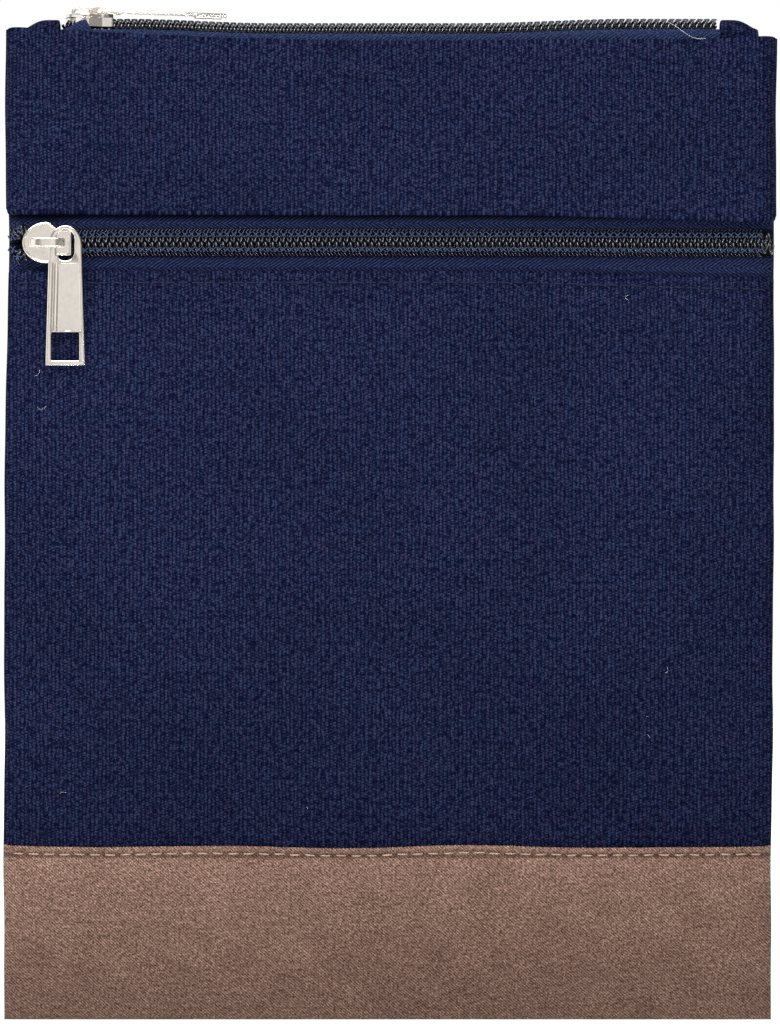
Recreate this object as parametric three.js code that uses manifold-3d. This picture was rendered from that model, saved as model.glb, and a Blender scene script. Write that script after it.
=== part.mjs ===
// Flat canvas pouch for travel documents: a zipped mouth along the top edge, a zipped pocket across
// the front and a brushed base. Millimetres: +X to the right, -Y to the front, +Z up.
// "Depth" is the distance from the middle plane of the side seams, outwards on either side.
import * as THREE from "three";
import { mergeVertices } from "three/addons/utils/BufferGeometryUtils.js";
import Module from "manifold-3d";

// ---- Driving dimensions ----
const pouchWidth = 180;
const pouchHeight = 229.3; // top corners of the front and back panels
const mouthSag = 2.8; // how far the top edges dip between their corners
const baseHeight = 40.6; // top edge of the brushed base
const baseLap = 6.6; // how far the base overlaps the canvas above it
const pocketZipHeight = 180; // middle of the front chain
const windowAbove = 6.6; // from the middle of the front chain to the band's fold
const windowBelow = 6.5; // from the middle of the front chain to the pocket panel's fold
const pocketBulge = 3.5; // how far the pocket panel swells at its middle
const frontFoot = 8; // height over which each side closes to the bottom seam
const backFoot = 24;

// Cloth thicknesses, and the space between neighbouring layers
const canvas = 1.0;
const foldedCanvas = 1.6;
const brushed = 1.0;
const liningCloth = 0.4;
const tapeCloth = 0.6;
const layerGap = 0.3;
const looseGap = 0.1; // from the seam plane to the lining on either side
const seat = 0.05; // under a piece that is sewn or staked to another

// Zip chain: two coils on two tapes
const tapeWidth = 13; // from the middle of the chain
const coilHeight = 2.4;
const coilHalfSlot = 0.6; // half the slot between the coils, in which the slider's wedge runs
const coilHalfWidth = 2.35;

// Slider: body, crown and pull
const sliderLength = 11.3;
const sliderWidth = 9.6;
const sliderTailWidth = 6.0;
const plate = 1.0;
const running = 0.25; // between the slider and the chain that runs in it
const rearInset = 0.6; // how much smaller the rear plate is, all round
const crownLength = 8.4;
const crownWidth = 1.7;
const crownThickness = 0.8;
const crownRound = 1.4;
const pullLength = 32.4;
const pullThickness = 0.9;
const pullTopWidth = 7.6;
const pullFootWidth = 9.1;
const pullWindow = 6.4; // square window over the foot bar
const pullFootBar = 1.2;
const pullRim = 0.9; // around the recessed panel
const pullRecess = 0.2;
const eyeWidth = 4.26; // hole of the pull's ring
const eyeLength = 7.2;
const ringTop = 1.0; // the bar over the eye, which lies under a crown
const pullGap = 0.3; // between the top plate and the pull
const roomBehindSlider = 1.15;

// End tabs of the mouth zip, and where the sliders stand when closed
const tabLength = 9;
const tabBelow = 4.4; // how far a tab reaches below the tapes
const tabInset = 4.4; // from the side seam to a tab
const sideTurn = 4.5; // width of the turned edge beside a zip, which has to stay straight
const pocketSliderInset = 0.55; // from the turned edge to the closed slider's nose
const mouthSliderInset = 1.15; // from the end tab to the closed slider's nose
const pullOffset = 4.3; // from the front slider's middle to the middle of its hanging pull
const pullDrop = 0.6;

// ---- Derived places ----
const halfWidth = pouchWidth / 2;
const bandFold = pocketZipHeight + windowAbove;
const pocketFold = pocketZipHeight - windowBelow;
const lapStart = baseHeight - baseLap;

const frontLiningDepth = looseGap + liningCloth;
const backingDepth = frontLiningDepth + layerGap + liningCloth;
const frontSeamDepth = backingDepth + layerGap + tapeCloth;
const backSeamDepth = 2 * looseGap + liningCloth;
const pocketZipDepth = backingDepth + roomBehindSlider + plate + running + tapeCloth;
const mouthHalfDepth = sliderWidth / 2 - rearInset + layerGap + tapeCloth;
const flare = mouthHalfDepth - tapeCloth - layerGap - frontLiningDepth;

const mouthZipHeight = pouchHeight + layerGap; // upper face of the mouth's tapes
const sliderRoomBelow = 4; // between the mouth slider and the lining's top edge
const liningTop = mouthZipHeight - tapeCloth - running - plate - sliderRoomBelow;
const backingTop = liningTop - 8;
const flareStart = bandFold + 4; // above here the layers spread towards the mouth
const tabEnd = halfWidth - tabInset;
const mouthZipEnd = tabEnd - tabLength - layerGap;
const pocketSliderClosed = sideTurn + pocketSliderInset + sliderLength / 2 - halfWidth;
const mouthSliderClosed = tabLength + tabInset + mouthSliderInset + sliderLength / 2 - halfWidth;

const plateFloor = coilHeight + running; // heights in a slider, from its tape's outer face
const plateTop = plateFloor + plate;
const plateRecess = 0.15;
const plateRim = 0.55; // around the recess
const flangeThickness = 0.8;
const crownWindow = Math.hypot(pullThickness, ringTop) + 0.15;
const eyeToRing = (eyeLength + ringTop) / 2;

// ---- Materials ----
const cloth = (color, roughness) => new THREE.MeshStandardMaterial({ color, roughness, metalness: 0 });
const navyCanvas = cloth(0x1b2450, 0.95);
const brownSuede = cloth(0x86705f, 0.9);
const navyTape = cloth(0x26305c, 0.85);
const darkLining = cloth(0x20263c, 0.7);
const coilNylon = cloth(0x0c0e16, 0.3);
const nickel = new THREE.MeshStandardMaterial({ color: 0xd9d6d0, roughness: 0.18, metalness: 1 });

// ---- Small helpers ----
const wasm = await Module();
wasm.setup();

function solidFrom(geometry) {
  const bare = geometry.clone();
  bare.deleteAttribute("normal");
  bare.deleteAttribute("uv");
  const merged = mergeVertices(bare, 1e-4);
  const vertProperties = merged.attributes.position.array;
  const triVerts = new Uint32Array(merged.index.array);
  return new wasm.Manifold(new wasm.Mesh({ numProp: 3, vertProperties, triVerts }));
}

function geometryFrom(solid) {
  const made = solid.getMesh();
  const geometry = new THREE.BufferGeometry();
  geometry.setAttribute("position", new THREE.BufferAttribute(made.vertProperties, 3));
  geometry.setIndex(new THREE.BufferAttribute(made.triVerts, 1));
  geometry.computeVertexNormals();
  return geometry;
}

function named(name, geometry, material) {
  const mesh = new THREE.Mesh(geometry, material);
  mesh.name = name;
  return mesh;
}

const smooth = (low, high, value) => THREE.MathUtils.smoothstep(value, low, high);
const evenly = (low, high, steps) =>
  Array.from({ length: steps + 1 }, (_, i) => THREE.MathUtils.lerp(low, high, i / steps));

// A shape drawn in the (Y, Z) plane, run along X from -half to half.
function alongX(shape, half) {
  const [x, y, z] = [new THREE.Vector3(1, 0, 0), new THREE.Vector3(0, 1, 0), new THREE.Vector3(0, 0, 1)];
  return new THREE.ExtrudeGeometry(shape, { depth: 2 * half, bevelEnabled: false, curveSegments: 4 })
    .translate(0, 0, -half)
    .applyMatrix4(new THREE.Matrix4().makeBasis(y, z, x));
}

// A shape drawn in the (X, Z) plane, run across Y, with its edges rounded by round.
function acrossY(shape, width, round) {
  const options = { depth: width - 2 * round, bevelSize: round, bevelThickness: round, bevelOffset: -round };
  return new THREE.ExtrudeGeometry(shape, { ...options, bevelSegments: 2, curveSegments: 5 })
    .translate(0, 0, round - width / 2)
    .rotateX(Math.PI / 2);
}

// A shape drawn in the (X, Y) plane, filling heights low to high, with its edges rounded by round.
function upright(shape, low, high, round, curveSegments = 8) {
  const bevel = { bevelSize: round, bevelThickness: round, bevelOffset: -round, bevelSegments: 2 };
  const options = { depth: high - low - 2 * round, bevelEnabled: round > 0, curveSegments, ...bevel };
  return new THREE.ExtrudeGeometry(shape, options).translate(0, 0, low + round);
}

function roundedRectangle(x0, y0, x1, y1, r) {
  const shape = new THREE.Shape();
  shape.moveTo(x0 + r, y0);
  shape.lineTo(x1 - r, y0);
  shape.absarc(x1 - r, y0 + r, r, -Math.PI / 2, 0, false);
  shape.lineTo(x1, y1 - r);
  shape.absarc(x1 - r, y1 - r, r, 0, Math.PI / 2, false);
  shape.lineTo(x0 + r, y1);
  shape.absarc(x0 + r, y1 - r, r, Math.PI / 2, Math.PI, false);
  shape.lineTo(x0, y0 + r);
  shape.absarc(x0 + r, y0 + r, r, Math.PI, 1.5 * Math.PI, false);
  return shape;
}

// ---- The pouch's form: how far the layers stand from the seam plane ----

// 1 between the shoulders, falling to 0 at the side seams.
function flank(x, shoulder) {
  const past = Math.max(0, Math.abs(x) - shoulder) / (halfWidth - shoulder);
  return 1 - past * past;
}

// 1 above the foot, falling to 0 at the bottom seam.
function foot(z, height) {
  const below = Math.max(0, height - z) / height;
  return 1 - below * below;
}

// Where the sides begin to fall away: far in at the foot, close to the seams beside the zips.
const besideZip = halfWidth - sideTurn;
const lowShoulder = halfWidth * 0.7;
const shoulderEnd = pocketFold - 14; // the front is full width from here up to the zip
const shoulderBetween = (z, low, high) => THREE.MathUtils.lerp(lowShoulder, besideZip, smooth(low, high, z));
const frontShoulder = (z) => shoulderBetween(z, shoulderEnd - baseHeight, shoulderEnd);
const backShoulder = (z) => shoulderBetween(z, 2 * baseHeight, backingTop);

// Swelling of the pocket panel, nothing at its bottom and at its fold.
function bulge(x, z) {
  const up = THREE.MathUtils.clamp(z / pocketFold, 0, 1);
  return pocketBulge * Math.sin(Math.PI * up) ** 1.5 * (1 - (x / halfWidth) ** 4);
}

// Outer face of the front zip's tapes, continued over the whole front.
function frontFloor(x, z) {
  const depth = THREE.MathUtils.lerp(pocketZipDepth, mouthHalfDepth, smooth(flareStart, backingTop, z));
  const swell = z < pocketFold ? bulge(x, z) : 0;
  return frontSeamDepth + (depth - frontSeamDepth) * flank(x, frontShoulder(z)) * foot(z, frontFoot) + swell;
}

// The lap of canvas under the base is pressed in, so that the base lies flush on the back.
function lapDip(z) {
  const rise = THREE.MathUtils.clamp((z - lapStart + baseLap) / baseLap, 0, 1);
  const fall = THREE.MathUtils.clamp((z - baseHeight) / (baseLap / 2), 0, 1);
  return (brushed + layerGap) * rise * (1 - fall);
}

function backFloor(x, z) {
  const across = flank(x, backShoulder(z)) * foot(z, backFoot);
  return backSeamDepth + (mouthHalfDepth - backSeamDepth - lapDip(z)) * across;
}

// The base lies over the canvas lap, and further down sinks onto the lining.
const baseRise = (z) =>
  layerGap + (canvas + layerGap) * THREE.MathUtils.clamp((z - lapStart + baseLap) / baseLap, 0, 1);

// The linings open towards the mouth.
const liningFlare = (x, z) => flare * smooth(flareStart, liningTop, z) * flank(x, halfWidth * 0.82);

const topEdge = (x) => pouchHeight - mouthSag * (1 - (x / halfWidth) ** 2);

// ---- Cloth panels ----
const rightColumns = [...[0.25, 0.5, 0.7, 0.82].map((share) => share * besideZip), besideZip - sideTurn];
rightColumns.push(besideZip, besideZip + sideTurn / 2, halfWidth);
const columns = [...rightColumns.map((x) => -x).reverse(), 0, ...rightColumns];

// A box splits the squares of its +Y and -Y faces along opposite diagonals. Turning those of the -Y
// face keeps the facing sides of neighbouring sheets parallel where they twist.
function matchDiagonals(geometry) {
  const index = geometry.index.array;
  const { start, count } = geometry.groups[3];
  for (let i = start; i < start + count; i += 6) {
    const [a, b, d, , c] = index.slice(i, i + 5);
    index.set([a, b, c, a, c, d], i);
  }
}

// A closed sheet over the columns and the given rows. depthAt gives its inner face, side is -1 for
// the front and 1 for the back, and lastRow may bend the top edge.
function sheet(name, material, rows, thickness, side, depthAt, lastRow = null) {
  const geometry = new THREE.BoxGeometry(1, 1, 1, columns.length - 1, 1, rows.length - 1);
  matchDiagonals(geometry);
  const position = geometry.attributes.position;
  for (let i = 0; i < position.count; i++) {
    const x = columns[Math.round((position.getX(i) + 0.5) * (columns.length - 1))];
    const row = Math.round((position.getZ(i) + 0.5) * (rows.length - 1));
    const z = lastRow && row === rows.length - 1 ? lastRow(x) : rows[row];
    const outer = Math.sign(position.getY(i)) === side;
    const depth = depthAt(x, z) + (outer ? thickness : 0);
    position.setXYZ(i, x, side * depth, z);
  }
  return named(name, geometry, material);
}

const footRows = [0, 4, 8, 14, 20];
const baseRows = [...footRows, lapStart - baseLap, lapStart, baseHeight];
const lapRows = [lapStart, baseHeight, baseHeight + baseLap / 2];
const backRows = [...lapRows, ...evenly(1.5 * baseHeight, liningTop, 11)];

function frontPanels() {
  const group = new THREE.Group();
  const bandRows = [bandFold, ...evenly(bandFold + 6, pouchHeight - 6, 4), pouchHeight];
  const pocketRows = [lapStart, ...evenly(baseHeight, pocketFold, 9)];
  const onTape = (x, z) => frontFloor(x, z) + layerGap;
  group.add(sheet("front_upper_band", navyCanvas, bandRows, foldedCanvas, -1, onTape, topEdge));
  group.add(sheet("front_pocket_panel", navyCanvas, pocketRows, canvas, -1, onTape));
  const onLap = (x, z) => frontFloor(x, z) + baseRise(z);
  group.add(sheet("front_base_panel", brownSuede, baseRows, brushed, -1, onLap));
  return group;
}

function backPanels() {
  const group = new THREE.Group();
  const rows = [...backRows, pouchHeight];
  const onLining = (x, z) => backFloor(x, z) + layerGap;
  group.add(sheet("back_panel", navyCanvas, rows, canvas, 1, onLining, topEdge));
  const onLap = (x, z) => backFloor(x, z) + baseRise(z);
  group.add(sheet("back_base_panel", brownSuede, baseRows, brushed, 1, onLap));
  return group;
}

function innerPanels() {
  const group = new THREE.Group();
  const rows = [0, flareStart / 2, ...evenly(flareStart, backingTop, 5)];
  const backing = (x, z) => backingDepth - liningCloth + liningFlare(x, z);
  group.add(sheet("pocket_backing", darkLining, rows, liningCloth, -1, backing));
  const front = (x, z) => frontLiningDepth - liningCloth + liningFlare(x, z);
  const frontRows = [...rows, (backingTop + liningTop) / 2, liningTop];
  group.add(sheet("front_lining", darkLining, frontRows, liningCloth, -1, front));
  const insideTape = (x, z) => smooth(flareStart, backingTop, z) * flank(x, halfWidth * 0.85);
  const back = (x, z) => backFloor(x, z) - liningCloth - (tapeCloth + layerGap) * insideTape(x, z);
  const liningRows = [...footRows, lapStart - baseLap, ...backRows];
  group.add(sheet("back_lining", darkLining, liningRows, liningCloth, 1, back));
  return group;
}

// ---- Zips ----

// One coil of a closed chain, a bar with a rounded back, side +1 or -1 of the chain's middle.
function coilBar(name, side, half) {
  const low = Math.min(side * coilHalfSlot, side * coilHalfWidth);
  const shape = roundedRectangle(low, seat, low + coilHalfWidth - coilHalfSlot, coilHeight, 0.5);
  return named(name, alongX(shape, half), coilNylon);
}

// The front zip's frame has its tapes' outer faces at height 0 and its chain across the pouch.
function pocketZip() {
  const group = new THREE.Group();
  const half = halfWidth - sideTurn;
  const coils = new THREE.Group();
  coils.add(coilBar("pocket_zip_upper_coil", 1, half), coilBar("pocket_zip_lower_coil", -1, half));
  coils.rotation.x = Math.PI / 2;
  coils.position.set(0, -pocketZipDepth, pocketZipHeight);
  const behind = (x) => frontFloor(x, pocketZipHeight) - tapeCloth;
  const upperRows = [pocketZipHeight + coilHalfSlot, pocketZipHeight + tapeWidth];
  const lowerRows = [pocketZipHeight - tapeWidth, pocketZipHeight - coilHalfSlot];
  group.add(coils, sheet("pocket_zip_upper_tape", navyTape, upperRows, tapeCloth, -1, behind));
  group.add(sheet("pocket_zip_lower_tape", navyTape, lowerRows, tapeCloth, -1, behind));
  return group;
}

// A tape of the mouth zip lies flat beside the chain, then turns down inside the panel.
function mouthTape(name, side) {
  const outer = mouthHalfDepth;
  const turn = 1.5 * tapeCloth;
  const drop = tapeWidth + turn - outer;
  const points = [
    [coilHalfSlot, 0],
    [outer - turn, 0],
    [outer, -turn],
    [outer, -drop],
    [outer - tapeCloth, -drop],
    [outer - tapeCloth, -2 * tapeCloth],
    [outer - 2 * tapeCloth, -tapeCloth],
    [coilHalfSlot, -tapeCloth],
  ];
  const shape = new THREE.Shape(points.map(([y, z]) => new THREE.Vector2(side * y, z)));
  const mesh = named(name, alongX(shape, mouthZipEnd), navyTape);
  mesh.position.z = mouthZipHeight;
  return mesh;
}

// A folded scrap of canvas over each end of the mouth zip, higher towards the chain.
function endTab(name, side) {
  const low = mouthZipHeight - tabBelow;
  const inner = mouthZipHeight + coilHeight; // no higher than the chain, so that the pull passes over
  const outer = mouthZipHeight + coilHeight / 2;
  const half = tabLength / 2;
  const shape = new THREE.Shape();
  shape.moveTo(-half, low);
  shape.lineTo(half, low);
  shape.lineTo(half, outer);
  shape.quadraticCurveTo(half, inner, 0.6 * half, inner);
  shape.quadraticCurveTo(-half / 2, inner, -half, outer);
  const mesh = named(name, acrossY(shape, 2 * (mouthHalfDepth - tapeCloth), 0.4), navyCanvas);
  mesh.position.x = side * (tabEnd - tabLength / 2);
  if (side > 0) mesh.rotation.z = Math.PI;
  return mesh;
}

function mouthZip() {
  const group = new THREE.Group();
  const coils = new THREE.Group();
  coils.add(coilBar("mouth_zip_front_coil", -1, mouthZipEnd), coilBar("mouth_zip_back_coil", 1, mouthZipEnd));
  coils.position.z = mouthZipHeight;
  group.add(coils, mouthTape("mouth_zip_front_tape", -1), mouthTape("mouth_zip_back_tape", 1));
  group.add(endTab("mouth_left_end_tab", -1), endTab("mouth_right_end_tab", 1));
  return group;
}

// ---- Slider, in a frame whose height 0 is the tape's outer face ----

// Outline of a plate: a round nose towards -X, and a square tail.
function plateOutline(inset) {
  const wide = sliderWidth / 2 - inset;
  const tail = sliderTailWidth / 2 - inset;
  const end = sliderLength / 2 - inset;
  const shape = new THREE.Shape();
  shape.moveTo(0, -wide);
  shape.bezierCurveTo(wide / 3, -wide, wide / 3, -tail, 0.65 * wide, -tail);
  shape.lineTo(end, -tail);
  shape.lineTo(end, tail);
  shape.lineTo(0.65 * wide, tail);
  shape.bezierCurveTo(wide / 3, tail, wide / 3, wide, 0, wide);
  shape.absellipse(0, 0, end, wide, Math.PI / 2, 1.5 * Math.PI, false);
  return shape;
}

// The channel is as wide as the chain at the tail, and opens to the nose.
function channelOutline() {
  const tail = coilHalfWidth + running;
  const nose = sliderWidth / 2 - flangeThickness;
  const shape = new THREE.Shape();
  shape.moveTo(sliderLength, -tail);
  shape.lineTo(sliderLength, tail);
  shape.lineTo(sliderLength * 0.22, tail);
  shape.bezierCurveTo(sliderLength * 0.1, tail, sliderLength * 0.1, nose, -sliderLength * 0.08, nose);
  shape.lineTo(-sliderLength, nose);
  shape.lineTo(-sliderLength, -nose);
  shape.lineTo(-sliderLength * 0.08, -nose);
  shape.bezierCurveTo(sliderLength * 0.1, -nose, sliderLength * 0.1, -tail, sliderLength * 0.22, -tail);
  return shape;
}

function sliderBody(name) {
  const flangeFoot = running + looseGap;
  const rearTop = -tapeCloth - running;
  const channel = solidFrom(upright(channelOutline(), -plate, plateFloor, 0));
  const recess = solidFrom(upright(plateOutline(plateRim), plateTop - plateRecess, plateTop + plate, 0));
  const front = solidFrom(upright(plateOutline(0), flangeFoot, plateTop, 0.25));
  const rear = solidFrom(upright(plateOutline(rearInset), rearTop - plate, rearTop, 0.2));
  const wedge = new THREE.Shape();
  const bow = 2 * (coilHalfSlot - running - seat); // control point of a bow half as high
  wedge.moveTo(-sliderLength * 0.43, 0);
  wedge.quadraticCurveTo(-sliderLength * 0.28, -bow, -sliderLength * 0.12, 0);
  wedge.quadraticCurveTo(-sliderLength * 0.28, bow, -sliderLength * 0.43, 0);
  const post = solidFrom(upright(wedge, rearTop - plate / 2, plateFloor + plate / 2, 0));
  const solid = front.subtract(channel).subtract(recess).add(rear).add(post);
  return named(name, geometryFrom(solid), nickel);
}

// The crown is an arch along the slider, under which the pull's ring passes.
function sliderCrown(name) {
  const low = plateTop - plateRecess + seat;
  const top = plateTop + crownWindow + crownThickness;
  const out = crownLength / 2;
  const leg = crownThickness;
  const shape = new THREE.Shape();
  shape.moveTo(-out, low);
  shape.lineTo(-out, top - crownRound);
  shape.absarc(-out + crownRound, top - crownRound, crownRound, Math.PI, Math.PI / 2, true);
  shape.lineTo(out - crownRound, top);
  shape.absarc(out - crownRound, top - crownRound, crownRound, Math.PI / 2, 0, true);
  shape.lineTo(out, low);
  shape.lineTo(out - leg, low);
  shape.lineTo(out - leg, top - crownRound);
  shape.absarc(out - crownRound, top - crownRound, crownRound - leg, 0, Math.PI / 2, false);
  shape.lineTo(-out + crownRound, top - leg);
  shape.absarc(-out + crownRound, top - crownRound, crownRound - leg, Math.PI / 2, Math.PI, false);
  shape.lineTo(-out + leg, low);
  return named(name, acrossY(shape, crownWidth, 0.15), nickel);
}

// The pull hangs along -Y of its own frame, from the middle of its eye. Its outer face has a
// recessed panel between raised rims, and a square window at its foot.
function pullTab(name) {
  const top = pullTopWidth / 2;
  const base = pullFootWidth / 2;
  const ring = eyeLength / 2 + ringTop;
  const bottom = ring - pullLength;
  const shape = new THREE.Shape();
  shape.moveTo(-base, bottom);
  shape.lineTo(base, bottom);
  shape.lineTo(top, 0);
  shape.absellipse(0, 0, top, ring, 0, Math.PI, false);
  const eye = eyeWidth / 2;
  const straight = eyeLength / 2 - eye;
  const hole = new THREE.Path();
  hole.absarc(0, straight, eye, 0, Math.PI, false);
  hole.absarc(0, -straight, eye, Math.PI, 2 * Math.PI, false);
  shape.holes.push(hole);
  const windowLow = bottom + pullFootBar;
  const windowTop = windowLow + pullWindow;
  shape.holes.push(roundedRectangle(-pullWindow / 2, windowLow, pullWindow / 2, windowTop, 0.4));
  const blank = solidFrom(upright(shape, -pullThickness / 2, pullThickness / 2, 0.12, 6));
  const panelTop = -eyeLength / 2 - pullRim;
  const panelFoot = windowTop + pullRim;
  const panelWidth = (y) => THREE.MathUtils.lerp(top, base, y / bottom) - pullRim;
  const panel = new THREE.Shape();
  panel.moveTo(-panelWidth(panelTop), panelTop);
  panel.lineTo(-panelWidth(panelFoot), panelFoot);
  panel.lineTo(panelWidth(panelFoot), panelFoot);
  panel.lineTo(panelWidth(panelTop), panelTop);
  const recess = solidFrom(upright(panel, pullThickness / 2 - pullRecess, pullThickness, 0));
  return named(name, geometryFrom(blank.subtract(recess)), nickel);
}

function slider(prefix) {
  const group = new THREE.Group();
  group.add(sliderBody(prefix + "_slider_body"), sliderCrown(prefix + "_slider_crown"));
  return group;
}

// The front slider's pull hangs beside the crown, with the crown's tail leg through its eye.
function pocketSlider() {
  const group = slider("pocket");
  const pull = pullTab("pocket_zip_pull");
  pull.position.set(pullOffset, -pullDrop, plateTop + pullGap + pullThickness / 2);
  group.add(pull);
  group.rotation.x = Math.PI / 2;
  group.position.set(pocketSliderClosed, -pocketZipDepth, pocketZipHeight);
  return group;
}

// The mouth slider's pull lies along the chain, with the bar over its eye under the crown.
function mouthSlider() {
  const group = slider("mouth");
  const hinge = new THREE.Group();
  hinge.position.z = plateTop + crownWindow / 2;
  const reach = pullLength - ringTop / 2;
  const room = hinge.position.z - coilHeight - pullThickness / 2 - pullGap;
  hinge.rotation.y = Math.asin(room / reach);
  const pull = pullTab("mouth_zip_pull");
  pull.rotation.z = Math.PI / 2;
  pull.position.x = eyeToRing;
  hinge.add(pull);
  group.add(hinge);
  group.position.set(mouthSliderClosed, 0, mouthZipHeight);
  return group;
}

// ---- The whole pouch, standing on its bottom seam with its box centred on the origin ----
const pouch = new THREE.Group();
pouch.add(frontPanels(), backPanels(), innerPanels());
pouch.add(pocketZip(), mouthZip(), pocketSlider(), mouthSlider());
pouch.updateMatrixWorld(true);
const box = new THREE.Box3().setFromObject(pouch, true);
pouch.position.y = -(box.min.y + box.max.y) / 2;

export default pouch;
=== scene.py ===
"""Looks of the travel document pouch, built round its CAD frame.

Metres, front towards -Y, +Z up. A cloth piece is a grid of points, with rows up the pouch and columns
across it. side is FRONT or BACK: the way a piece faces along Y.
"""

import math

import bpy
import numpy as np
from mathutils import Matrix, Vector
from mathutils.bvhtree import BVHTree
from mathutils.geometry import tessellate_polygon


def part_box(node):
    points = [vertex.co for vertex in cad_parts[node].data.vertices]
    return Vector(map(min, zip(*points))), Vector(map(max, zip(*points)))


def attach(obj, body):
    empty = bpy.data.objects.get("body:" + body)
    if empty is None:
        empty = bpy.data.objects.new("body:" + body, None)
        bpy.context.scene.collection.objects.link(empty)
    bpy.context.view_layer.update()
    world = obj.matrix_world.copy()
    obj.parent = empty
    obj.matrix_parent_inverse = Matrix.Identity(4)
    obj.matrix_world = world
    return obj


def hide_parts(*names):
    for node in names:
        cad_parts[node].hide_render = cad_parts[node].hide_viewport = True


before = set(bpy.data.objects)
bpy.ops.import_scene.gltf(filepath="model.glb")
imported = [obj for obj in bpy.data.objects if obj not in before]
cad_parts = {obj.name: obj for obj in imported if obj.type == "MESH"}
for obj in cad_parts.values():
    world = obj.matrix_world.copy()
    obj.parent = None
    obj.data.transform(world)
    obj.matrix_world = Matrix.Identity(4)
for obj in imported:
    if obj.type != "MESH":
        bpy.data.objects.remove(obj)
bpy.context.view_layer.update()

MM = 0.001
FRONT, BACK = -1, 1
rng = np.random.default_rng(5)

# ---- Places in the frame ----
band_low, band_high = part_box("front_upper_band")
panel_low, panel_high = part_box("front_pocket_panel")
base_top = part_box("front_base_panel")[1].z
back_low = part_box("back_panel")[0]
upper_coil_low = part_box("pocket_zip_upper_coil")[0]
lower_coil_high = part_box("pocket_zip_lower_coil")[1]
half_width = band_high.x
seam_y = (band_high.y + back_low.y) / 2
zip_z = (upper_coil_low.z + lower_coil_high.z) / 2
pouch_top = band_high.z

# ---- Cloth thicknesses, and measures of the sewing ----
CANVAS = 0.9 * MM
FOLDED = 1.5 * MM
SUEDE = 0.9 * MM
LINING = 0.3 * MM
TAPE = 0.5 * MM
BASE_STITCH_BELOW = 2.3 * MM  # from the base's upper edge to its topstitch
POCKET_STITCH_BELOW = 3 * MM  # from the pocket's upper edge to its topstitch
FINE_ROW = 0.3 * MM  # between grid rows near a hem or an edge
SETTLE_GRID = 4.5 * MM  # between the points of a grid that is settled
SETTLE_FRAMES = 20


# ---- Grids ----
def smooth(low, high, value):
    t = np.clip((value - low) / (high - low), 0, 1)
    return t * t * (3 - 2 * t)


def steps(low, high, size):
    """Evenly spaced values from low to high, about size apart."""
    return np.linspace(low, high, max(2, round((high - low) / size) + 1))


def stretches(*parts):
    """Values over stretches that are each given as low, high and size."""
    return np.concatenate([steps(*part) for part in parts])


def grid_faces(rows, columns, start=0, flip=False):
    """The squares of a grid whose points are numbered row by row."""
    index = np.arange(rows * columns).reshape(rows, columns) + start
    corners = [index[:-1, :-1], index[:-1, 1:], index[1:, 1:], index[1:, :-1]]
    faces = np.stack(corners, axis=-1).reshape(-1, 4)
    return faces[:, ::-1] if flip else faces


def ring_faces(index):
    """The squares between closed rings of points, each ring a row of the index."""
    after = np.roll(index, -1, axis=1)
    return np.stack([index[:-1], after[:-1], after[1:], index[1:]], axis=-1).reshape(-1, 4).tolist()


def along(points, at):
    """Points of the curve through points, at these fractional row numbers."""
    last = len(points) - 1
    before = np.clip(np.floor(at).astype(int), 0, last - 1)
    t = (at - before).reshape((-1,) + (1,) * (points.ndim - 1))
    a, b, c, d = (points[np.clip(before + k, 0, last)] for k in (-1, 0, 1, 2))
    return b + 0.5 * t * (c - a + t * (2 * a - 5 * b + 4 * c - d + t * (3 * (b - c) + d - a)))


def normals_of(points):
    """Unit normals of a grid, towards -Y where x runs right and z runs up."""
    across = np.gradient(points, axis=1)
    up = np.gradient(points, axis=0)
    normal = np.cross(across, up)
    return normal / np.maximum(np.linalg.norm(normal, axis=-1, keepdims=True), 1e-12)


# ---- Reading the CAD sheets ----
def cad_edge(node, pick):
    """Height of a CAD sheet's upper or lower edge as a function of x."""
    places = {}
    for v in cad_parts[node].data.vertices:
        x = round(v.co.x, 5)
        places[x] = pick(places.get(x, v.co.z), v.co.z)
    xs = sorted(places)
    return lambda x: np.interp(x, xs, [places[key] for key in xs])


def cad_face(node, side):
    """Depth of a CAD sheet's outer face as a function of x and z."""
    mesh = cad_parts[node].data
    corners = [v.co for v in mesh.vertices]
    tree = BVHTree.FromPolygons(corners, [p.vertices for p in mesh.polygons])
    low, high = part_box(node)
    top, foot = cad_edge(node, max), cad_edge(node, min)
    margin = MM / 20

    def depth(x, z):
        x = min(max(x, low.x + margin), high.x - margin)
        z = min(max(z, foot(x) + margin), top(x) - margin)
        start = Vector((x, side * 4 * half_width, z))
        return tree.ray_cast(start, Vector((0, -side, 0)))[0].y

    return np.vectorize(depth)


# ---- Cloth ----
def add_object(name, data):
    made = bpy.data.objects.new(name, data)
    bpy.context.scene.collection.objects.link(made)
    return made


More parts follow.
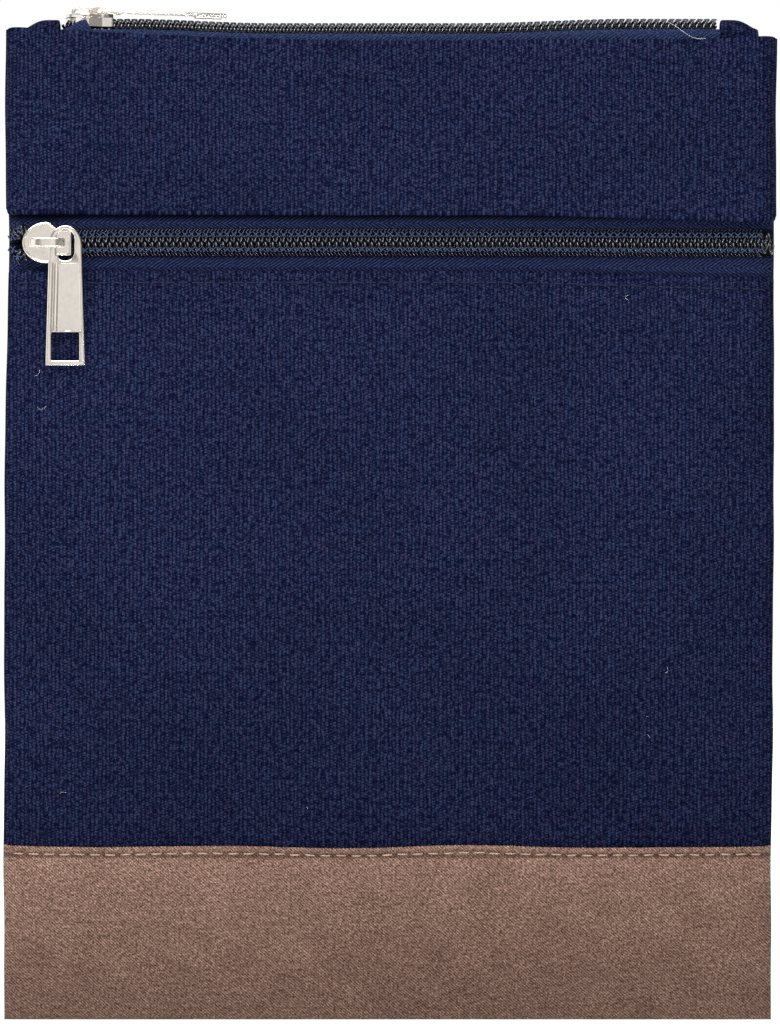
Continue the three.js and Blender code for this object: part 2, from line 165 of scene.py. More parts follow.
def settle(points, pinned, side, slack, pressure):
    """The grid after its cloth has settled with a little slack, held where it is pinned."""
    scene = bpy.context.scene
    rows, columns = pinned.shape
    mesh = bpy.data.meshes.new("settling")
    faces = grid_faces(rows, columns, flip=side == BACK)
    mesh.from_pydata(points.reshape(-1, 3).tolist(), [], faces.tolist())
    piece = add_object("settling", mesh)
    group = piece.vertex_groups.new(name="pinned")
    group.add(np.flatnonzero(pinned).tolist(), 1.0, "REPLACE")
    cloth = piece.modifiers.new("cloth", "CLOTH")
    settings = dict(
        vertex_group_mass=group.name,
        quality=8,
        mass=0.002,
        tension_stiffness=10,
        compression_stiffness=10,
        shear_stiffness=5,
        bending_stiffness=0.1,
        shrink_min=-slack,
        use_pressure=True,
        uniform_pressure_force=pressure,
    )
    for key, value in settings.items():
        setattr(cloth.settings, key, value)
    cloth.settings.effector_weights.gravity = 0
    cloth.collision_settings.use_collision = False
    cloth.point_cache.frame_end = SETTLE_FRAMES
    scene.frame_start, scene.frame_end = 1, SETTLE_FRAMES
    for number in range(1, SETTLE_FRAMES + 1):
        scene.frame_set(number)
    settled = piece.evaluated_get(bpy.context.evaluated_depsgraph_get())
    found = np.empty(rows * columns * 3, np.float32)
    settled.data.vertices.foreach_get("co", found)
    bpy.data.objects.remove(piece)
    bpy.data.meshes.remove(mesh)
    scene.frame_set(1)
    return found.reshape(rows, columns, 3).astype(float)


def soft_noise(x, z, size, seed):
    """A smooth seeded wave field of about unit height, with features of about this size."""
    local = np.random.default_rng(seed)
    total = np.zeros(np.broadcast(x, z).shape)
    for _ in range(14):
        turn, phase = local.uniform(0, 2 * math.pi, 2)
        rate = 2 * math.pi / (size * local.uniform(0.7, 1.6))
        total += np.sin(rate * (x * math.cos(turn) + z * math.sin(turn)) + phase)
    return total / 3


class Sheet:
    """The outer face of a CAD sheet after its cloth has settled, sampled at any x and share of height."""

    def __init__(self, node, side, slack=0.003, pressure=4.0, most=0.9 * MM, seed=1):
        self.low, self.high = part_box(node)
        self.foot, self.top = cad_edge(node, min), cad_edge(node, max)
        columns = round((self.high.x - self.low.x) / SETTLE_GRID) + 1
        rows = max(5, round((self.high.z - self.low.z) / SETTLE_GRID) + 1)
        x, share = np.meshgrid(np.linspace(self.low.x, self.high.x, columns), np.linspace(0, 1, rows))
        z = self.height(x, share)
        start = np.stack([x, cad_face(node, side)(x, z), z], axis=-1)
        pinned = np.ones((rows, columns), bool)
        pinned[1:-1, 1:-1] = False
        nudged = start.copy()
        nudged[..., 1] += np.where(pinned, 0, 0.15 * MM * soft_noise(x, z, 35 * MM, seed))
        self.points = settle(nudged, pinned, side, slack, pressure)
        moved = self.points - start
        self.points = start + most * np.tanh(moved / most)

    def height(self, x, share):
        return self.foot(x) + share * (self.top(x) - self.foot(x))

    def at(self, xs, zs):
        """Points over the columns xs, and over rows with these heights at the middle of the sheet."""
        rows, columns = self.points.shape[:2]
        middle = self.foot(0), self.top(0)
        up = (np.asarray(zs) - middle[0]) / (middle[1] - middle[0]) * (rows - 1)
        across = (np.asarray(xs) - self.low.x) / (self.high.x - self.low.x) * (columns - 1)
        taken = along(self.points, np.clip(up, 0, rows - 1))
        taken = along(taken.swapaxes(0, 1), np.clip(across, 0, columns - 1)).swapaxes(0, 1)
        taken[..., 0] = xs
        return taken


def turn_in(points, past, thickness, gap=0.05 * MM):
    """Bends an edge in to the seam; past runs from 0 to 1 over the bend."""
    y = points[..., 1]
    side = np.sign(y[len(y) // 2, y.shape[1] // 2] - seam_y)
    rest = seam_y + side * (gap + thickness / 2)
    points[..., 1] = rest + (y - rest) * np.sqrt(1 - past**2)


def round_sides(points, radius=2.4 * MM):
    x = np.abs(points[..., 0])
    edge = x[:, [0, -1]].max()
    turn_in(points, np.clip((x - (edge - radius)) / radius, 0, 1), CANVAS)


def round_bottom(points, radius=3 * MM):
    z = points[..., 2]
    turn_in(points, np.clip((radius - (z - z.min())) / radius, 0, 1), SUEDE)


def lie(points):
    """The sewn pouch isn't quite square: it narrows and leans a little, and its right side hangs lower."""
    x, z = points[..., 0].copy(), points[..., 2].copy()
    up = z / pouch_top
    right = smooth(0.25 * half_width, half_width, x)
    lean = -0.75 * MM + 1.2 * MM * up
    wave = 0.12 * MM * soft_noise(np.zeros_like(z), z, 30 * MM, 3)
    waist = 0.65 * MM * np.exp(-(((z - zip_z) / (32 * MM)) ** 2)) * (z < band_low.z + 0.1 * MM)
    wave -= waist * np.sign(x)
    points[..., 0] = (0.9933 + 0.0067 * up) * x + lean + wave * np.abs(x / half_width) ** 4
    hang = 1.5 * MM * right * smooth(0.1, 0.7, up)
    hang -= 0.6 * MM * smooth(0, -half_width, x) * smooth(0.7, 1, up)
    ripple = 0.25 * MM * soft_noise(x, np.zeros_like(x), 45 * MM, 9) * smooth(0, 0.05, up)
    points[..., 2] = z - hang + ripple * (1 - smooth(0.3, 0.6, up))
    return points


# ---- Pieces ----
def add_piece(name, vertices, faces, material, body="pouch", uv=None, node=None, slot=None):
    mesh = bpy.data.meshes.new(name)
    mesh.from_pydata(np.asarray(vertices).reshape(-1, 3).tolist(), [], [list(map(int, f)) for f in faces])
    mesh.shade_smooth()
    mesh.materials.append(material)
    if uv is not None:
        layer = mesh.uv_layers.new(name="flat")
        corners = np.empty(len(mesh.loops), np.int32)
        mesh.loops.foreach_get("vertex_index", corners)
        layer.data.foreach_set("uv", np.asarray(uv).reshape(-1, 2)[corners].astype(np.float32).ravel())
    piece = add_object(name, mesh)
    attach(piece, body)
    if node:
        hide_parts(node)
    return piece


def cloth_piece(name, points, thickness, material, side=FRONT, **more):
    """A closed piece of cloth, with rounded edges, whose outer face is the grid."""
    rows, columns = points.shape[:2]
    normal = normals_of(points) * (1 if side == FRONT else -1)
    inner = points - thickness * normal
    index = np.arange(rows * columns).reshape(rows, columns)
    rim = np.concatenate([index[0, :-1], index[:-1, -1], index[-1, :0:-1], index[:0:-1, 0]])
    outward = np.zeros_like(points)
    for edge, inside in [((0,), (1,)), ((-1,), (-2,))]:
        outward[edge] += points[edge] - points[inside]
        outward[:, edge] += points[:, edge] - points[:, inside]
    flat_outward = outward.reshape(-1, 3)[rim]
    rim_normal = normal.reshape(-1, 3)[rim]
    flat_outward -= (flat_outward * rim_normal).sum(-1, keepdims=True) * rim_normal
    flat_outward /= np.linalg.norm(flat_outward, axis=-1, keepdims=True)
    middle = (points.reshape(-1, 3)[rim] + inner.reshape(-1, 3)[rim]) / 2
    half = thickness / 2
    loops = [
        middle + half * (math.cos(a) * rim_normal + math.sin(a) * flat_outward)
        for a in (math.pi / 4, math.pi / 2, 3 * math.pi / 4)
    ]
    count = rows * columns
    vertices = np.concatenate([points.reshape(-1, 3), inner.reshape(-1, 3), *loops])
    front = grid_faces(rows, columns, flip=side == BACK)
    back = grid_faces(rows, columns, start=count, flip=side == FRONT)
    size = len(rim)
    rings = [rim, *(np.arange(size) + 2 * count + k * size for k in range(3)), rim + count]
    bands = []
    for a, b in zip(rings, rings[1:]):
        band = np.stack([a, b, np.roll(b, -1), np.roll(a, -1)], axis=-1)
        bands.append(band if side == FRONT else band[:, ::-1])
    flat = np.stack([points[..., 0], points[..., 2]], axis=-1).reshape(-1, 2)
    uv = np.concatenate([flat, flat, *[flat[rim]] * 3])
    return add_piece(name, vertices, [*front, *back, *np.concatenate(bands)], material, uv=uv, **more)


def tubes(paths, radius, sides=7):
    """Vertices and faces of closed round tubes along the paths, each an array of points."""
    vertices, faces, start = [], [], 0
    turn = np.linspace(0, 2 * math.pi, sides, endpoint=False)
    for path in paths:
        path = np.asarray(path, float)
        tangent = np.gradient(path, axis=0)
        tangent /= np.linalg.norm(tangent, axis=1, keepdims=True)
        reference = np.array([0.0, 0.0, 1.0]) if abs(tangent[0, 2]) < 0.8 else np.array([1.0, 0.0, 0.0])
        first = np.cross(tangent, reference)
        first /= np.linalg.norm(first, axis=1, keepdims=True)
        second = np.cross(tangent, first)
        thick = np.broadcast_to(radius, len(path)).reshape(-1, 1, 1)
        ring = first[:, None] * np.cos(turn)[None, :, None] + second[:, None] * np.sin(turn)[None, :, None]
        vertices.append((path[:, None] + thick * ring).reshape(-1, 3))
        index = np.arange(len(path) * sides).reshape(len(path), sides) + start
        faces += [*ring_faces(index), index[0].tolist(), index[-1][::-1].tolist()]
        start += len(path) * sides
    return np.concatenate(vertices), faces


# ---- Shaders ----
class Shader:
    """A material's node tree, written as nested calls."""

    def __init__(self, name):
        self.material = bpy.data.materials.new(name)
        self.material.use_nodes = True
        self.tree = self.material.node_tree
        self.surface = self.tree.nodes["Principled BSDF"]

    def node(self, kind, *values, out=0, **settings):
        made = self.tree.nodes.new(kind)
        for key, value in settings.items():
            setattr(made, key, value)
        for socket, value in zip(made.inputs, values):
            self.put(socket, value)
        return made.outputs[out]

    def put(self, socket, value):
        if isinstance(value, bpy.types.NodeSocket):
            self.tree.links.new(value, socket)
        elif value is not None:
            socket.default_value = value

    def math(self, operation, *values):
        return self.node("ShaderNodeMath", *values, operation=operation)

    def plus(self, a, b):
        return self.math("ADD", a, b)

    def times(self, a, b):
        return self.math("MULTIPLY", a, b)

    def minus(self, a, b):
        return self.math("SUBTRACT", a, b)

    def over(self, a, b):
        return self.math("DIVIDE", a, b)

    def flat(self):
        """The cloth's own flat coordinates, in metres."""
        parts = self.tree.nodes.new("ShaderNodeSeparateXYZ")
        self.put(parts.inputs[0], self.node("ShaderNodeUVMap", uv_map="flat"))
        return parts.outputs[0], parts.outputs[1]

    def place(self):
        return self.node("ShaderNodeTexCoord", out=3)

    def vector(self, x, y, z=0.0):
        return self.node("ShaderNodeCombineXYZ", x, y, z)

    def noise(self, where, scale, detail=2.0, rough=0.5):
        return self.node("ShaderNodeTexNoise", where, None, scale, detail, rough)

    def streaks(self, u, v, u_rate, v_rate, detail, rough=0.5, level=0.0):
        """Noise whose marks are longer one way than the other."""
        where = self.vector(self.times(u, u_rate), self.times(v, v_rate), level)
        return self.noise(where, 1.0, detail, rough)

    def range(self, value, low, high, to_low=0.0, to_high=1.0):
        return self.node("ShaderNodeMapRange", value, low, high, to_low, to_high)

    def mix(self, share, a, b):
        made = self.tree.nodes.new("ShaderNodeMix")
        made.data_type = "RGBA"
        for socket, value in zip((made.inputs[0], made.inputs[6], made.inputs[7]), (share, a, b)):
            self.put(socket, value)
        return made.outputs[2]

    def scaled(self, color, share):
        """The colour times a number."""
        made = self.tree.nodes.new("ShaderNodeVectorMath")
        made.operation = "SCALE"
        self.put(made.inputs[0], color if isinstance(color, bpy.types.NodeSocket) else color[:3])
        self.put(made.inputs["Scale"], share)
        return made.outputs[0]

    def bump(self, height, distance, strength=1.0):
        made = self.tree.nodes.new("ShaderNodeBump")
        self.put(made.inputs["Height"], height)
        self.put(made.inputs["Distance"], distance)
        self.put(made.inputs["Strength"], strength)
        return made.outputs[0]

    def finish(self, **inputs):
        for key, value in inputs.items():
            self.put(self.surface.inputs[key.replace("_", " ")], value)
        return self.material


def rgb(red, green, blue):
    return (red, green, blue, 1.0)


def canvas_material(name, warp, weft, rib_pitch=0.905 * MM, float_pitch=0.64 * MM):
    """Plain weave with upright ribs: pale floats stand staggered along them, and every thread differs."""
    s = Shader(name)
    u, v = s.flat()
    spot = s.vector(u, v)
    drift = s.minus(s.noise(spot, 260.0, 2.0), 0.5)
    jitter = s.minus(s.noise(spot, 1200.0), 0.5)
    across = s.plus(s.over(u, rib_pitch), s.times(drift, 0.8))
    across = s.plus(across, s.times(jitter, 0.35))
    up = s.plus(s.over(v, float_pitch), s.times(jitter, 0.7))
    swing = s.math("COSINE", s.times(across, math.pi))
    rib = s.times(swing, swing)
    staggered = s.times(swing, s.math("COSINE", s.times(up, 2 * math.pi)))
    pick = s.times(rib, s.plus(0.5, s.times(staggered, 0.5)))
    thread = s.streaks(u, v, 1250.0, 260.0, 3.0, 0.6)
    speck = s.streaks(u, v, 2100.0, 1700.0, 3.0, 0.75)
    fleck = s.noise(spot, 1000.0, 3.0, 0.7)
    tint = s.streaks(u, v, 420.0, 240.0, 2.0, level=3.0)
    cloud = s.noise(spot, 24.0, 3.0)
    shine = s.times(s.range(thread, 0.36, 0.64, 0.5, 1.5), s.range(speck, 0.38, 0.62, 0.0, 2.1))
    shine = s.times(shine, s.range(fleck, 0.4, 0.66, 0.2, 2.2))
    shown = s.times(s.range(pick, -0.1, 0.9), shine)
    greener = [c * k for c, k in zip(weft, (0.8, 1.05, 1.08, 1.0))]
    color = s.mix(shown, warp, s.mix(s.range(tint, 0.42, 0.6), weft, greener))
    color = s.scaled(color, s.range(cloud, 0.3, 0.7, 0.88, 1.12))
    bump = s.bump(s.plus(pick, s.times(speck, 0.6)), 0.16 * MM, 0.9)
    return s.finish(Base_Color=color, Roughness=0.95, Normal=bump, Specular_IOR_Level=0.02)


def suede_material(name, light, dark):
    """Brushed twill: faint diagonals under a short nap, worn and mottled in soft patches. Painted shade
    makes it darker towards the bottom and along the groove of its topstitch.
    """
    s = Shader(name)
    u, v = s.flat()
    spot = s.vector(u, v)
    wobble = s.times(s.minus(s.noise(spot, 330.0), 0.5), 0.8)
    slope = s.plus(s.over(u, 0.803 * MM), s.over(v, 0.708 * MM))
    twill = s.math("SINE", s.times(s.plus(slope, wobble), 2 * math.pi))
    nap = s.noise(spot, 1900.0, 3.0, 0.8)
    fleck = s.noise(spot, 900.0, 2.0, 0.6)
    streak = s.streaks(u, v, 130.0, 420.0, 3.0)
    patch = s.noise(spot, 110.0, 6.0, 0.68)
    cloud = s.noise(spot, 20.0, 2.0)
    tone = s.times(s.range(twill, -1.0, 1.0, 0.62, 1.38), s.range(nap, 0.38, 0.62, 0.35, 1.65))
    tone = s.times(tone, s.range(fleck, 0.36, 0.64, 0.78, 1.22))
    tone = s.times(tone, s.range(streak, 0.3, 0.7, 0.94, 1.06))
    # Painted shade: the suede's colour darkens towards the bottom of the base, where less light falls.
    tone = s.times(tone, s.range(v, 0.0, base_top, 0.58, 1.04))
    # Painted shade: a dark line in the groove along the topstitch.
    from_stitches = s.math("ABSOLUTE", s.minus(v, base_top - BASE_STITCH_BELOW))
    tone = s.times(tone, s.range(from_stitches, 0.2 * MM, 0.75 * MM, 0.5, 1.0))
    worn = s.plus(s.times(patch, 0.7), s.times(cloud, 0.3))
    color = s.scaled(s.mix(s.range(worn, 0.36, 0.62), dark, light), tone)
    bump = s.bump(s.plus(s.times(twill, 0.5), s.times(nap, 0.9)), 0.14 * MM, 0.9)
    return s.finish(
        Base_Color=color, Roughness=0.95, Normal=bump, Specular_IOR_Level=0.05, Sheen_Weight=0.05
    )


def tape_material(name, light, dark):
    """Herringbone tape, with painted shadow where it goes under the fold of the band and beside the chain.
    """
    s = Shader(name)
    u, v = s.flat()
    spot = s.vector(u, v)
    stripe = s.times(s.math("PINGPONG", v, 2.6 * MM), 1.5)
    wobble = s.times(s.noise(spot, 400.0), 1.1 * MM)
    slope = s.over(s.plus(s.plus(u, stripe), wobble), 1.1 * MM)
    twill = s.math("SINE", s.times(slope, 2 * math.pi))
    uneven = s.noise(spot, 1800.0, 2.0, 0.6)
    tone = s.range(uneven, 0.34, 0.66, 0.45, 1.55)
    # Painted shadow: the tape darkens where it runs under the fold of the band.
    from_fold = s.math("ABSOLUTE", s.minus(v, band_low.z - 0.2 * MM))
    tone = s.times(tone, s.range(from_fold, 0.2 * MM, 1.3 * MM, 0.15, 1.0))
    # Painted shadow: the tape darkens beside the chain, at the coils' outer edges.
    from_chain = s.math("ABSOLUTE", s.minus(v, zip_z))
    tone = s.times(tone, s.range(from_chain, 2.9 * MM, 3.7 * MM, 0.15, 1.0))
    color = s.scaled(s.mix(s.range(twill, -0.8, 0.8), dark, light), tone)
    bump = s.bump(s.plus(twill, uneven), 0.12 * MM, 0.9)
    return s.finish(Base_Color=color, Roughness=0.9, Normal=bump, Specular_IOR_Level=0.05)


def thread_material(name, color):
    s = Shader(name)
    tone = s.range(s.noise(s.place(), 1800.0, 2.0), 0.3, 0.7, 0.75, 1.2)
    twist = s.noise(s.place(), 4200.0, 1.0)
    return s.finish(
        Base_Color=s.scaled(color, tone),
        Roughness=0.6,
        Normal=s.bump(twist, 0.05 * MM, 0.6),
        Specular_IOR_Level=0.2,
    )


def nylon_material(name, color):
    s = Shader(name)
    haze = s.noise(s.place(), 900.0, 2.0)
    tone = s.range(haze, 0.3, 0.7, 0.8, 1.2)
    rough = s.range(haze, 0.3, 0.7, 0.09, 0.15)
    return s.finish(Base_Color=s.scaled(color, tone), Roughness=rough, Specular_IOR_Level=0.8)


def nickel_material(name, color):
    """Polished plating over a faintly uneven casting."""
    s = Shader(name)
    cast = s.noise(s.place(), 260.0, 3.0)
    fine = s.noise(s.place(), 900.0, 2.0)
    rough = s.range(fine, 0.3, 0.7, 0.16, 0.24)
    tone = s.range(cast, 0.3, 0.7, 0.96, 1.03)
    bump = s.bump(cast, 0.1 * MM, 0.25)
    return s.finish(Base_Color=s.scaled(color, tone), Metallic=1.0, Roughness=rough, Normal=bump)


navy_canvas = canvas_material("navy_canvas", rgb(0.0012, 0.002, 0.0135), rgb(0.0325, 0.0355, 0.0855))
brown_suede = suede_material("brown_suede", rgb(0.275, 0.167, 0.129), rgb(0.206, 0.121, 0.092))
navy_tape = tape_material("navy_tape", rgb(0.023, 0.031, 0.088), rgb(0.004, 0.006, 0.023))
pale_tape = tape_material("pale_tape", rgb(0.028, 0.041, 0.108), rgb(0.018, 0.027, 0.075))
lining_cloth = canvas_material(
    "lining_cloth", rgb(0.01, 0.012, 0.03), rgb(0.03, 0.034, 0.06), rib_pitch=0.3 * MM, float_pitch=0.4 * MM
)
navy_thread = thread_material("navy_thread", rgb(0.036, 0.055, 0.125))
dark_thread = thread_material("dark_thread", rgb(0.008, 0.011, 0.035))
beige_thread = thread_material("beige_thread", rgb(0.5, 0.36, 0.27))
pale_thread = thread_material("pale_thread", rgb(0.55, 0.55, 0.6))
coil_nylon = nylon_material("coil_nylon", rgb(0.004, 0.005, 0.012))
nickel = nickel_material("nickel", rgb(0.92, 0.85, 0.78))


# ---- Canvas panels and the base ----
def columns_of(edge, size=0.9 * MM):
    """Columns across the pouch, close together where the side edges turn in."""
    turn = edge - np.array([0.0, 0.15, 0.4, 0.75, 1.2, 1.7, 2.3]) * MM
    inside = steps(-turn[-1], turn[-1], size)
    return np.concatenate([-turn[:-1], inside, turn[-2::-1]])


def hem(points, edge_z, stitch_z, rise):
    """Lifts the cloth between a folded edge and its topstitch, and pulls it in under the stitches."""
    z = points[..., 2]
    middle = (edge_z + stitch_z) / 2
    wide = abs(edge_z - stitch_z) / 2
    ridge = np.exp(-(((z - middle) / (0.8 * wide)) ** 4))
    valley = np.exp(-(((z - stitch_z) / (0.65 * MM)) ** 2))
    side = FRONT if points[..., 1].mean() < seam_y else BACK
    points[..., 1] += side * (rise * ridge - 0.45 * MM * valley)


def topstitch(name, line, material, pitch, length, radius, side=FRONT, **more):
    """A row of stitches along a line of points. Each lies on the cloth and dives in at both ends."""
    line_x, line_y, line_z = line[np.argsort(line[:, 0])].T
    low, high = line_x[0] + 2 * MM, line_x[-1] - 2 * MM
    count = int((high - low) / pitch)
    span = np.linspace(-0.5, 0.5, 7)
    dive = 1.6 * radius * (2 * np.abs(span)) ** 4 - 0.35 * radius
    paths = []
    for middle in low + (np.arange(count) + 0.5) * (high - low) / count:
        x = middle + span * length
        y = np.interp(x, line_x, line_y) - side * dive
        uneven = rng.normal(0, 0.05 * MM) + span * rng.normal(0, 0.12 * MM)
        paths.append(np.stack([x, y, np.interp(x, line_x, line_z) + uneven], axis=-1))
    vertices, faces = tubes(paths, radius, sides=8)
    add_piece(name, vertices, faces, material, **more)


def sewn_face(sheet, rows, thickness, hem_lines=None, bottom=False):
    """The outer face of a sewn panel: its settled sheet, hemmed, and turned in at its edges."""
    points = sheet.at(columns_of(half_width - thickness / 2), rows)
    if hem_lines:
        hem(points, *hem_lines)
    round_sides(points)
    if bottom:
        round_bottom(points)
    return lie(points)


def nearest_row(rows, z):
    return int(np.argmin(np.abs(rows - z)))


def pocket_panel():
    sheet = Sheet("front_pocket_panel", FRONT, seed=11)
    top = panel_high.z - CANVAS / 2
    stitch_z = panel_high.z - POCKET_STITCH_BELOW
    rows = stretches((panel_low.z + CANVAS, top - 6 * MM, 1.1 * MM), (top - 5.7 * MM, top, FINE_ROW))
    points = sewn_face(sheet, rows, CANVAS, hem_lines=(panel_high.z, stitch_z, 0.22 * MM))
    piece = cloth_piece(
        "pocket_panel_cloth", points, CANVAS, navy_canvas, node="front_pocket_panel", slot="canvas"
    )
    line = points[nearest_row(rows, stitch_z)]
    topstitch("pocket_topstitch", line, dark_thread, 3.1 * MM, 2.3 * MM, 0.2 * MM, slot="canvas")


def upper_band():
    sheet = Sheet("front_upper_band", FRONT, seed=23, slack=0.002)
    low, top = sheet.foot(0) + FOLDED / 2, sheet.top(0) - FOLDED / 2
    rows = stretches(
        (low, low + 3 * MM, FINE_ROW), (low + 3.8 * MM, top - 2.5 * MM, MM), (top - 2.1 * MM, top, FINE_ROW)
    )
    points = sewn_face(sheet, rows, FOLDED)
    piece = cloth_piece(
        "upper_band_cloth", points, FOLDED, navy_canvas, node="front_upper_band", slot="canvas"
    )


def back_canvas():
    sheet = Sheet("back_panel", BACK, seed=37)
    low, top = sheet.foot(0) + CANVAS, sheet.top(0) - CANVAS / 2
    rows = stretches((low, top - 2.5 * MM, 1.3 * MM), (top - 2.1 * MM, top, FINE_ROW))
    points = sewn_face(sheet, rows, CANVAS)
    piece = cloth_piece(
        "back_panel_cloth", points, CANVAS, navy_canvas, side=BACK, node="back_panel", slot="canvas"
    )


def base_panel(name, node, side, seed):
    sheet = Sheet(node, side, slack=0.005, most=0.8 * MM, seed=seed)
    top = base_top - SUEDE / 2
    stitch_z = base_top - BASE_STITCH_BELOW
    rows = stretches(
        (0.1 * MM, 3 * MM, 0.4 * MM), (3.8 * MM, top - 5 * MM, 0.9 * MM), (top - 4.7 * MM, top, FINE_ROW)
    )
    hem_lines = (base_top, stitch_z + 0.7 * MM, 0.75 * MM)
    points = sewn_face(sheet, rows, SUEDE, hem_lines, bottom=True)
    piece = cloth_piece(
        name + "_cloth", points, SUEDE, brown_suede, side=side, node=node, slot="brushed_base"
    )
    line = points[nearest_row(rows, stitch_z)]
    measures = (3.5 * MM, 2.4 * MM, 0.24 * MM)
    topstitch(name + "_topstitch", line, beige_thread, *measures, side, slot="brushed_base")


# ---- Inner layers ----
def inner_sheet(name, node, side, inset=3.2 * MM):
    """A thin layer inside the pouch, cut a little narrower than the seams."""
    sheet = Sheet(node, side, slack=0.001, most=0.15 * MM, seed=5)
    rows = steps(sheet.foot(0) + 3.5 * MM, sheet.top(0) - LINING, 3 * MM)
    xs = steps(sheet.low.x + inset, sheet.high.x - inset, 3 * MM)
    points = sheet.at(xs, rows)
    piece = cloth_piece(name, points, LINING, lining_cloth, side=side, node=node, slot="lining")


# ---- Zips ----
COIL_PITCH = 1.64 * MM
FILAMENT = 0.33 * MM
COIL_REACH = 2.5 * MM  # from the chain's middle to a coil's outer edge
UP = np.array([0.0, 0.0, 1.0])


def flattened(wave, power):
    return np.sign(wave) * np.abs(wave) ** power


class Chain:
    """A closed chain along X. It lies on tapes whose outer faces pass through middle and face out."""

    def __init__(self, middle, out, height, shift):
        self.middle, self.out = np.array(middle), np.array(out)
        self.height, self.shift = height, shift

    def points(self, across, x, away, rise):
        """Points at x along the chain, away from its middle on one side, and rise over its tapes."""
        made = self.middle + np.outer(away, across) + np.outer(rise, self.out)
        made[:, 0] += x
        return self.shift(made, across)

    def coil(self, name, node, across, low, high, phase):
        """One coil: its front legs run outwards and to the right, its heads lock past the middle."""
        turns = (high - low) / COIL_PITCH
        angle = np.linspace(0, 2 * math.pi * turns, int(turns * 16) + 1)
        inner, outer = FILAMENT - 0.45 * MM, COIL_REACH - FILAMENT
        away = (inner + outer) / 2 + (outer - inner) / 2 * flattened(np.cos(angle), 0.7)
        roof = 1 - 0.38 * np.abs(np.cos(angle) - 0.25)
        rise = self.height / 2 - (self.height / 2 - FILAMENT) * flattened(np.sin(angle), 0.45) * roof
        path = self.points(across, low + phase + angle / (2 * math.pi) * COIL_PITCH, away, rise)
        vertices, faces = tubes([path], FILAMENT, sides=8)
        add_piece(name, vertices, faces, coil_nylon, node=node, slot="zip_coil")

    def strokes(self, name, across, low, high, shape, radius, material, slot):
        """Short threads over the coil, two to each turn; shape gives x, away and rise over the span."""
        span = np.linspace(-0.5, 0.5, 6)
        paths = []
        for number in range(int((high - low) / COIL_PITCH * 2)):
            x, away, rise = shape(span, number)
            start = low + number * COIL_PITCH / 2 + rng.normal(0, 0.07 * MM)
            paths.append(self.points(across, start + x, away, rise))
        vertices, faces = tubes(paths, radius, sides=6)
        add_piece(name, vertices, faces, material, slot=slot)

    def sewing(self, name, across, low, high):
        """The two rows of stitches of one coil: a cross over each leg, and strokes round its outer edge."""

        def cross(span, number):
            lean = 1 if number % 2 else -1
            x = (0.75 * lean * span - 0.25 * lean) * COIL_PITCH
            return x, (1.75 + 1.1 * span) * MM, self.height + (0.06 - 0.5 * span**2) * MM

        def whip(span, number):
            fall = 0.5 + span
            return 0.7 * MM * span, COIL_REACH + (0.8 * fall - 0.25) * MM, (0.5 - 0.4 * fall) * MM

        self.strokes(name + "_crosses", across, low, high, cross, 0.12 * MM, navy_thread, "zip_tape")
        self.strokes(name + "_whips", across, low, high, whip, 0.15 * MM, coil_nylon, "zip_coil")


def tape(name, node, points, side, material):
    piece = cloth_piece(name, points, TAPE, material, side=side, node=node, slot="zip_tape")


def droop(x):
    """How high the front chain rides: a little up in the middle, and down at its right end."""
    share = x / half_width
    middle = smooth(-0.82, -0.6, share) * (1 - smooth(0.3, 0.75, share))
    return 0.2 * MM * middle - 0.25 * MM * smooth(0.93, 1, share)


def pocket_sway(points, across):
    """At the nose of the closed slider the coils part. They curl round an open gap and meet at the seam."""
    x, away = points[:, 0].copy(), (points[:, 2] - zip_z) * across[2]
    part_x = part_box("pocket_slider_body")[0].x + 0.9 * MM
    past = part_x - x
    side_turn = np.clip((x - half_width + 4 * MM) / (4 * MM), 0, 1)
    reach, curl, gap = 1.1 * MM, 2.6 * MM, 2.2 * MM
    parted = gap * smooth(-0.5 * MM, 0.2 * MM, past)
    angle = np.clip(past / curl, 0, math.pi / 2)
    radius = curl + away - reach
    rise = np.where(past > 0, parted + reach - curl + radius * np.cos(angle), away + parted)
    points[:, 0] = np.where(past > 0, part_x - radius * np.sin(angle), x)
    points[:, 1] += 1.5 * MM * side_turn**2 + 0.9 * MM * smooth(0, 4 * MM, past)
    points[:, 2] = zip_z + across[2] * rise + droop(x)
    return points


def pocket_tape(name, node, side_of_chain):
    """A tape of the front zip. At the side seams the two tapes close up."""
    low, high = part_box(node)
    face = cad_face(node, FRONT)
    xs = columns_of(half_width - 0.75 * MM, 2 * MM)
    edge = high.z if side_of_chain > 0 else low.z
    closing = smooth(half_width - 4 * MM, half_width - 1.4 * MM, np.abs(xs))
    inner = zip_z + side_of_chain * (0.65 * MM - 0.4 * MM * closing)
    share = np.linspace(0, 1, 13)[:, None]
    z = inner + share * (edge - side_of_chain * TAPE / 2 - inner)
    x = np.broadcast_to(xs, z.shape)
    points = np.stack([x, face(x, z), z], axis=-1)
    if side_of_chain < 0:
        points = points[::-1]
    level = points[..., 2].copy()
    round_sides(points)
    lie(points)
    hung = np.abs(level - inner) / np.abs(level - inner).max()
    points[..., 2] = level + hung * (points[..., 2] - level) + (1 - hung) * droop(points[..., 0])
    tape(name, node, points, FRONT, navy_tape)


